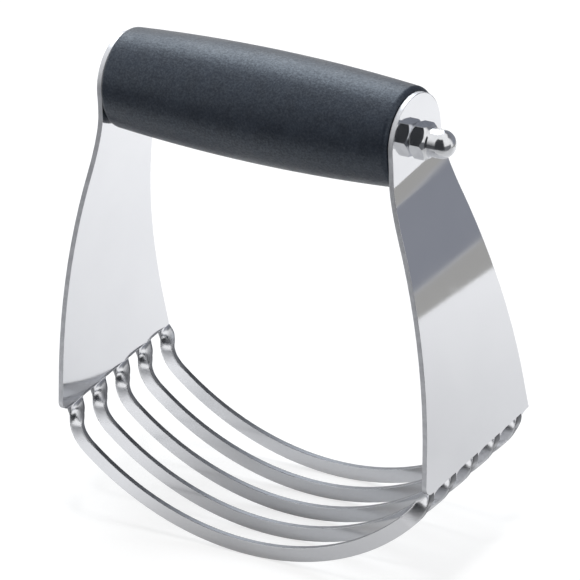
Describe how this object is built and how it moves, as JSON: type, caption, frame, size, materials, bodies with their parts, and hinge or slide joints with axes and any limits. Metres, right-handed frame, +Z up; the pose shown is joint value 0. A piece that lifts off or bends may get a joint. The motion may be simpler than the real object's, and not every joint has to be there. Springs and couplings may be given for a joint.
{
  "type": "pastry blender",
  "caption": "Hand tool with curved blades strung between bowed steel cheeks under a round grip, for cutting fat into flour.",
  "frame": {"origin": "on the surface the blades stand on, midway between the two cheeks and midway across the blades", "axes": "+X along the grip's axis towards the cap nut, +Y from the front blade to the back blade, +Z up from the blades to the grip"},
  "size_m": [0.1274, 0.0596, 0.153],
  "materials": {
    "polished_steel": "mirror polished stainless sheet",
    "nut_steel": "polished",
    "bolt_steel": "plain turned",
    "soft_skin": "matte, finely mottled",
    "core_plastic": "moulded"
  },
  "bodies": {
    "frame": {"blade_frame": "polished_steel", "through_bolt": "bolt_steel", "cap_nut": "nut_steel"},
    "grip": {"grip_sleeve": "soft_skin", "grip_core": "core_plastic"}
  },
  "joints": [
    {"name": "grip_turn", "type": "hinge", "parent": "frame", "child": "grip", "pos_m": [0, 0, 0.136], "axis": [1, 0, 0], "continuous": true}
  ]
}
